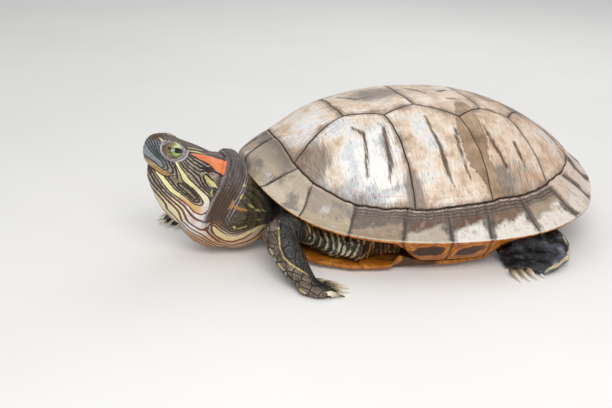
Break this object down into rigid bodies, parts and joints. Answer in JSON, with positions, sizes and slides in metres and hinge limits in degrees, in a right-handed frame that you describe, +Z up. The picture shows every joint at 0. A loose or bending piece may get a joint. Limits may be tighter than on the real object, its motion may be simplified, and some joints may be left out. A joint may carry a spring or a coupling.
{
  "type": "red-eared slider turtle",
  "caption": "Still, life-size red-eared slider turtle standing with its belly on the ground, head raised, domed shell with horn plates, webbed clawed feet and a red patch behind each eye.",
  "frame": {"origin": "on the ground, in the middle of the whole animal's length and width", "axes": "+X towards the tail (the head points to -X), +Y towards the animal's right side, +Z up"},
  "size_m": [0.2552, 0.1884, 0.0775],
  "materials": {
    "carapace_horn": "dry, slightly worn horn",
    "rim_horn": "dry horn",
    "belly_horn": "smooth horn, orange with brown blotches",
    "skin": "scaly skin, dark with pale yellow lines",
    "eye": "wet and glossy",
    "claw_horn": "smooth horn"
  },
  "bodies": {
    "root": {"cervical": "rim_horn", "costal_left_1": "carapace_horn", "costal_left_2": "carapace_horn", "costal_left_3": "carapace_horn", "costal_left_4": "carapace_horn", "costal_right_1": "carapace_horn", "costal_right_2": "carapace_horn", "costal_right_3": "carapace_horn", "costal_right_4": "carapace_horn", "eye_left": "eye", "eye_right": "eye", "fore_left_claw_1": "claw_horn", "fore_left_claw_2": "claw_horn", "fore_left_claw_3": "claw_horn", "fore_left_claw_4": "claw_horn", "fore_left_claw_5": "claw_horn", "fore_left_foot": "skin", "fore_left_lower": "skin", "fore_left_upper": "skin", "fore_right_claw_1": "claw_horn", "fore_right_claw_2": "claw_horn", "fore_right_claw_3": "claw_horn", "fore_right_claw_4": "claw_horn", "fore_right_claw_5": "claw_horn", "fore_right_foot": "skin", "fore_right_lower": "skin", "fore_right_upper": "skin", "head": "skin", "hind_left_claw_1": "claw_horn", "hind_left_claw_2": "claw_horn", "hind_left_claw_3": "claw_horn", "hind_left_claw_4": "claw_horn", "hind_left_foot": "skin", "hind_left_lower": "skin", "hind_left_upper": "skin", "hind_right_claw_1": "claw_horn", "hind_right_claw_2": "claw_horn", "hind_right_claw_3": "claw_horn", "hind_right_claw_4": "claw_horn", "hind_right_foot": "skin", "hind_right_lower": "skin", "hind_right_upper": "skin", "lower_jaw": "skin", "marginals_left": "rim_horn", "marginals_right": "rim_horn", "neck_front": "skin", "neck_rear": "skin", "plastron": "belly_horn", "tail": "skin", "trunk": "skin", "vertebral_1": "carapace_horn", "vertebral_2": "carapace_horn", "vertebral_3": "carapace_horn", "vertebral_4": "carapace_horn", "vertebral_5": "carapace_horn"}
  },
  "joints": []
}
